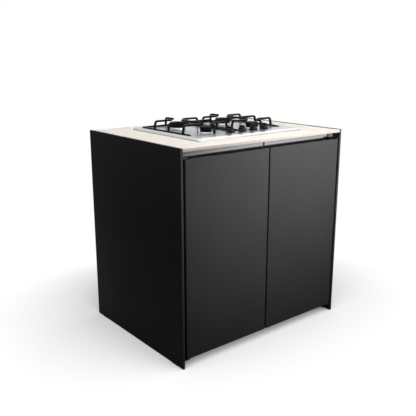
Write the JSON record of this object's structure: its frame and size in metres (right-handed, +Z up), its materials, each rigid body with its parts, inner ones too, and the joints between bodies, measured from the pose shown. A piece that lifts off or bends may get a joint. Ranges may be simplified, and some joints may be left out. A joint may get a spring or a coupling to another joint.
{
  "type": "outdoor kitchen burner module",
  "caption": "Free-standing outdoor kitchen cabinet with a gas hob in a pale worktop, swinging doors under a grip channel, lift-off pan supports and press-and-turn knobs.",
  "frame": {"origin": "on the floor, under the middle of the module's box", "axes": "+X to the right seen from the front, +Y to the back, +Z up"},
  "size_m": [0.918, 0.696, 0.9515],
  "materials": {
    "dark_laminate": "satin, very fine grain",
    "carcass_board": "matte",
    "pale_slab": "honed, faint grain",
    "hob_steel": "brushed",
    "plain_steel": "plain rolled",
    "channel_aluminium": "satin anodised",
    "burner_aluminium": "fine cast",
    "burner_black": "matte black enamel",
    "support_black": "glossy black enamel",
    "valve_brass": "machined",
    "black_rubber": "matte",
    "pale_rubber": "matte",
    "black_plastic": "fine texture",
    "knob_plastic": "satin black",
    "dark_steel": "matte black coating",
    "dark_ceramic": "dark glazed"
  },
  "bodies": {
    "cabinet": {"base_panel": "carcass_board", "back_panel": "carcass_board", "hose_grommet": "black_rubber", "front_rail": "carcass_board", "rear_rail": "carcass_board", "worktop": "pale_slab", "panel_glides": "black_plastic", "channel_end_caps": "channel_aluminium", "hinge_brackets": "dark_steel", "hinge_bushes": "black_plastic", "magnet_catches": "black_plastic", "fixing_screws": "dark_steel", "hob_tray": "hob_steel", "hob_seal": "pale_rubber", "hob_underbox": "plain_steel", "hob_clamps": "plain_steel", "burner_cups": "burner_aluminium", "flame_rings": "burner_black", "spark_electrodes": "dark_ceramic", "thermocouples": "plain_steel", "knob_bezels": "hob_steel", "knob_seals": "black_rubber", "gas_valves": "valve_brass", "gas_manifold": "burner_aluminium", "gas_inlet": "valve_brass", "feed_tubes": "burner_aluminium", "ignition_box": "black_plastic", "left_side_panel": "dark_laminate", "right_side_panel": "dark_laminate", "left_carcass_side": "carcass_board", "right_carcass_side": "carcass_board", "left_grip_channel": "channel_aluminium", "right_grip_channel": "channel_aluminium", "rear_burner_caps": "burner_black", "front_left_burner_cap": "burner_black", "front_right_burner_cap": "burner_black"},
    "left_door_leaf": {"left_door": "dark_laminate", "left_door_pins": "plain_steel", "left_strike_plate": "plain_steel"},
    "left_support": {"left_pan_support": "support_black", "left_support_feet": "black_rubber"},
    "right_door_leaf": {"right_door": "dark_laminate", "right_door_pins": "plain_steel", "right_strike_plate": "plain_steel"},
    "right_support": {"right_pan_support": "support_black", "right_support_feet": "black_rubber"},
    "plunger_1": {"valve_plunger_1": "valve_brass"},
    "knob_set_1": {"knob_1": "knob_plastic", "knob_spindle_1": "plain_steel"},
    "plunger_2": {"valve_plunger_2": "valve_brass"},
    "knob_set_2": {"knob_2": "knob_plastic", "knob_spindle_2": "plain_steel"},
    "plunger_3": {"valve_plunger_3": "valve_brass"},
    "knob_set_3": {"knob_3": "knob_plastic", "knob_spindle_3": "plain_steel"},
    "plunger_4": {"valve_plunger_4": "valve_brass"},
    "knob_set_4": {"knob_4": "knob_plastic", "knob_spindle_4": "plain_steel"}
  },
  "joints": [
    {"name": "left_door_swing", "type": "hinge", "parent": "cabinet", "child": "left_door_leaf", "pos_m": [-0.4305, -0.339, 0.45], "axis": [0, 0, -1], "range_deg": [0, 110]},
    {"name": "right_door_swing", "type": "hinge", "parent": "cabinet", "child": "right_door_leaf", "pos_m": [0.4305, -0.339, 0.45], "axis": [0, 0, 1], "range_deg": [0, 110]},
    {"name": "left_support_lift", "type": "slide", "parent": "cabinet", "child": "left_support", "axis": [0, 0, 1], "range_m": [0, 0.12]},
    {"name": "right_support_lift", "type": "slide", "parent": "cabinet", "child": "right_support", "axis": [0, 0, 1], "range_m": [0, 0.12]},
    {"name": "knob_1_press", "type": "slide", "parent": "cabinet", "child": "plunger_1", "axis": [0, 0, -1], "range_m": [0, 0.003], "stiffness_N_per_m": 600, "springref_m": -0.003},
    {"name": "knob_1_turn", "type": "hinge", "parent": "plunger_1", "child": "knob_set_1", "pos_m": [-0.0975, -0.21, 0.92], "axis": [0, 0, 1], "range_deg": [0, 210]},
    {"name": "knob_2_press", "type": "slide", "parent": "cabinet", "child": "plunger_2", "axis": [0, 0, -1], "range_m": [0, 0.003], "stiffness_N_per_m": 600, "springref_m": -0.003},
    {"name": "knob_2_turn", "type": "hinge", "parent": "plunger_2", "child": "knob_set_2", "pos_m": [-0.0325, -0.21, 0.92], "axis": [0, 0, 1], "range_deg": [0, 210]},
    {"name": "knob_3_press", "type": "slide", "parent": "cabinet", "child": "plunger_3", "axis": [0, 0, -1], "range_m": [0, 0.003], "stiffness_N_per_m": 600, "springref_m": -0.003},
    {"name": "knob_3_turn", "type": "hinge", "parent": "plunger_3", "child": "knob_set_3", "pos_m": [0.0325, -0.21, 0.92], "axis": [0, 0, 1], "range_deg": [0, 210]},
    {"name": "knob_4_press", "type": "slide", "parent": "cabinet", "child": "plunger_4", "axis": [0, 0, -1], "range_m": [0, 0.003], "stiffness_N_per_m": 600, "springref_m": -0.003},
    {"name": "knob_4_turn", "type": "hinge", "parent": "plunger_4", "child": "knob_set_4", "pos_m": [0.0975, -0.21, 0.92], "axis": [0, 0, 1], "range_deg": [0, 210]}
  ]
}
